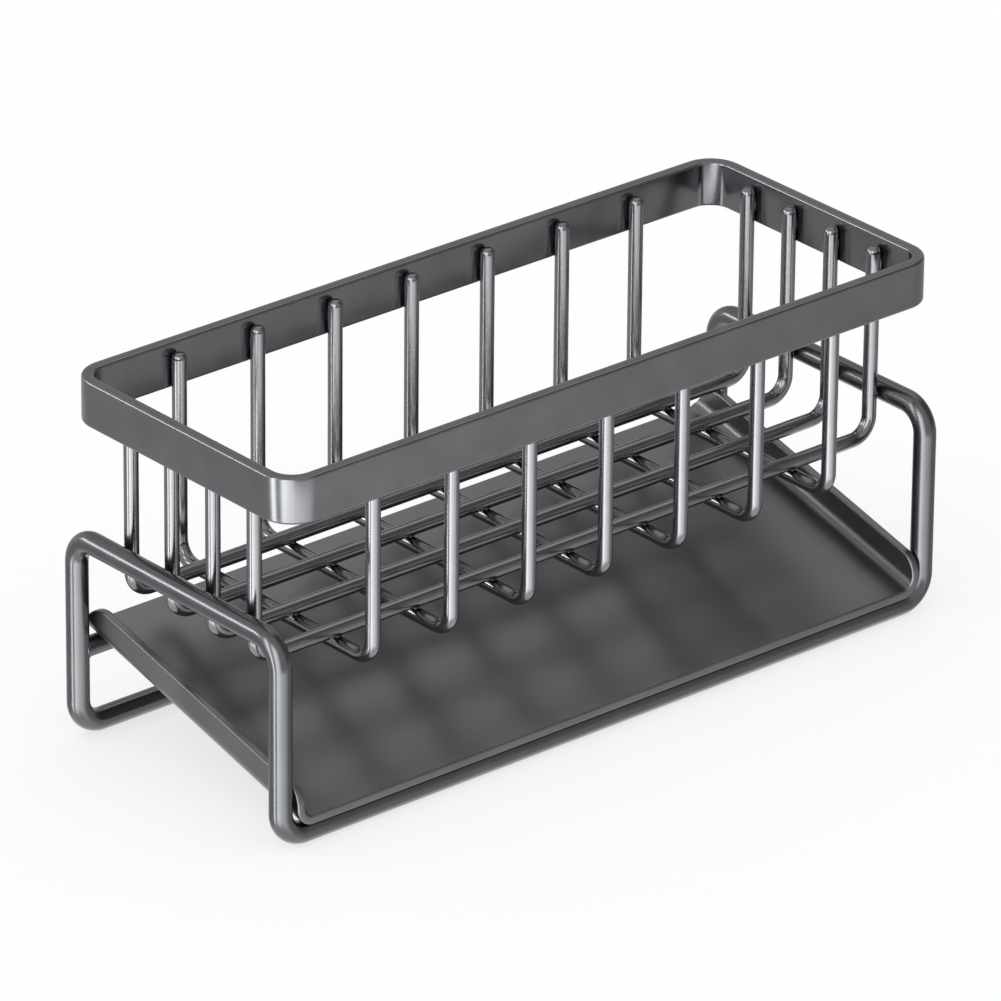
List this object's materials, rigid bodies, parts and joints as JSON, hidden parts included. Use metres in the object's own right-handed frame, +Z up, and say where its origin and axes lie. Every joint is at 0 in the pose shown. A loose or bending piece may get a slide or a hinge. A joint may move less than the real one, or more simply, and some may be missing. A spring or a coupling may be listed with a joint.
{
  "type": "sink caddy with drip tray",
  "caption": "Wire sponge and brush caddy with a flat rim band, on a saddle-shaped wire stand over a sloping removable drip tray.",
  "frame": {"origin": "on the surface the caddy stands on, under the middle of its bounding box", "axes": "+X along the caddy's length, +Y from the front to the back, +Z up; the tray slides out towards -Y"},
  "size_m": [0.23, 0.09, 0.105],
  "materials": {
    "band": "flat steel bar plated in satin gunmetal grey",
    "stand": "steel wire plated in bright gunmetal grey",
    "basket_wire": "steel wire plated in bright gunmetal grey",
    "tray": "folded steel sheet plated in satin gunmetal grey"
  },
  "bodies": {
    "rack": {"top_band": "band", "stand_frame": "stand", "rear_support_bar": "stand", "cross_wire_1": "basket_wire", "cross_wire_2": "basket_wire", "cross_wire_3": "basket_wire", "cross_wire_4": "basket_wire", "cross_wire_5": "basket_wire", "cross_wire_6": "basket_wire", "cross_wire_7": "basket_wire", "long_wire_1": "basket_wire", "long_wire_2": "basket_wire", "long_wire_3": "basket_wire", "long_wire_4": "basket_wire"},
    "drip_tray": {"drip_tray": "tray"}
  },
  "joints": [
    {"name": "tray_slide", "type": "slide", "parent": "rack", "child": "drip_tray", "axis": [0, -1, 0], "range_m": [0, 0.095]}
  ]
}
